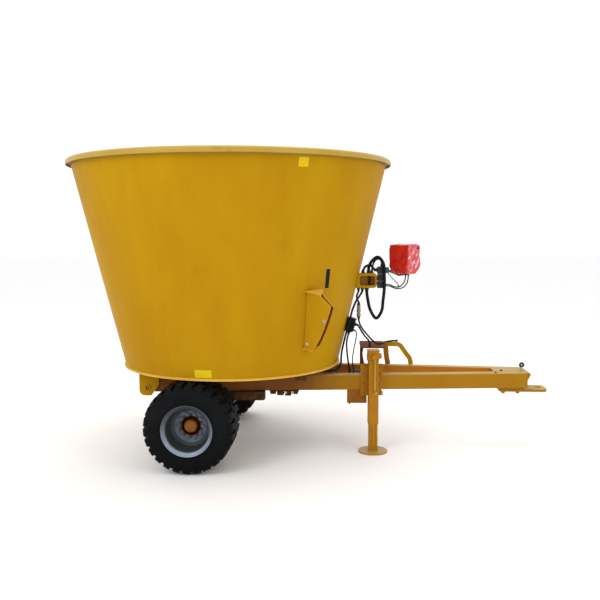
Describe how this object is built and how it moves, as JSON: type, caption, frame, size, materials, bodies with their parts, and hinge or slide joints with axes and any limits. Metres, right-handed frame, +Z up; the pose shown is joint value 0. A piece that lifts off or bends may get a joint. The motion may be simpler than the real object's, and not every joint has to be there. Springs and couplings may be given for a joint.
{
  "type": "trailed vertical feed mixer wagon",
  "caption": "Trailed feed mixer wagon with a tapered round tub, an upright mixing screw, two wide wheels, a drawbar with parking jack, and a weigh indicator on an arm.",
  "frame": {"origin": "under the middle of the wagon's bounding box, on the ground", "axes": "+X towards the towing tongue, +Y to the wagon's left, +Z up"},
  "size_m": [3.703, 2.484, 2.2083],
  "materials": {
    "wagon_paint": "golden yellow gloss enamel with dust",
    "screw_steel": "feed polished steel",
    "cast_housing": "dark painted casting",
    "bright_steel": "machined steel",
    "jack_steel": "golden yellow enamel, rubbed",
    "tyre_rubber": "matt black",
    "rim_silver": "silver grey paint",
    "hub_iron": "rusty orange brown",
    "red_cover": "creased red film",
    "dark_plastic": "dark grey",
    "hose_rubber": "black rubber",
    "cable_grey": "grey sheath"
  },
  "bodies": {
    "wagon": {"tub_wall": "wagon_paint", "tub_lip": "wagon_paint", "tub_floor": "wagon_paint", "gearbox": "cast_housing", "shaft_bearing": "cast_housing", "beam_near": "wagon_paint", "beam_far": "wagon_paint", "bearer_rear": "wagon_paint", "bearer_front": "wagon_paint", "cross_member": "wagon_paint", "nose": "wagon_paint", "tongue": "wagon_paint", "hose_ring": "wagon_paint", "rear_lug_near": "wagon_paint", "rear_lug_far": "wagon_paint", "axle": "wagon_paint", "axle_bracket_near": "wagon_paint", "axle_bracket_far": "wagon_paint", "jack_plate": "wagon_paint", "jack_tube": "wagon_paint", "jack_crank": "bright_steel", "guard_plate": "wagon_paint", "guard_brace": "wagon_paint", "guard_strap_rear": "wagon_paint", "guard_strap_front": "wagon_paint", "knife_holder": "wagon_paint", "counter_knife": "bright_steel", "sight_strip": "dark_plastic", "door_rail_front": "wagon_paint", "door_rail_rear": "wagon_paint", "door_cylinder": "dark_plastic", "hose_bracket": "wagon_paint", "cable_clamp": "dark_plastic", "indicator": "red_cover", "valve_box": "dark_plastic", "hose_fitting": "bright_steel", "hose_loop": "hose_rubber", "hose_arch_high": "hose_rubber", "hose_arch": "hose_rubber", "hose_upper": "hose_rubber", "hose_middle": "hose_rubber", "hose_lower": "hose_rubber", "hose_long": "hose_rubber", "sensor_hose": "hose_rubber", "sensor_cable": "cable_grey", "indicator_cable_1": "cable_grey", "indicator_cable_2": "cable_grey"},
    "near_wheel": {"tyre_near": "tyre_rubber", "rim_near": "rim_silver", "hub_near": "hub_iron"},
    "far_wheel": {"tyre_far": "tyre_rubber", "rim_far": "rim_silver", "hub_far": "hub_iron"},
    "mixing_screw": {"screw_column": "screw_steel", "screw_flight": "screw_steel"},
    "input_shaft": {"drive_shaft": "bright_steel"},
    "parking_leg": {"jack_leg": "jack_steel"},
    "sliding_door": {"discharge_door": "wagon_paint", "door_rod": "bright_steel"}
  },
  "joints": [
    {"name": "near_wheel_turn", "type": "hinge", "parent": "wagon", "child": "near_wheel", "pos_m": [-0.793, -0.742, 0.318], "axis": [0, 1, 0], "continuous": true},
    {"name": "far_wheel_turn", "type": "hinge", "parent": "wagon", "child": "far_wheel", "pos_m": [-0.793, 0.742, 0.318], "axis": [0, 1, 0], "continuous": true},
    {"name": "screw_turn", "type": "hinge", "parent": "wagon", "child": "mixing_screw", "pos_m": [-0.6095, 0, 0.6667], "axis": [0, 0, 1], "continuous": true},
    {"name": "shaft_turn", "type": "hinge", "parent": "wagon", "child": "input_shaft", "pos_m": [0.2905, 0, 0.52], "axis": [1, 0, 0], "continuous": true},
    {"name": "parking_leg_slide", "type": "slide", "parent": "wagon", "child": "parking_leg", "axis": [0, 0, 1], "range_m": [-0.15, 0.19]},
    {"name": "door_slide", "type": "slide", "parent": "wagon", "child": "sliding_door", "axis": [0.1169, 0.2025, 0.9723], "range_m": [0, 0.4]}
  ],
  "couplings": [
    {"joint": "shaft_turn", "follows": "screw_turn", "ratio": 18}
  ]
}
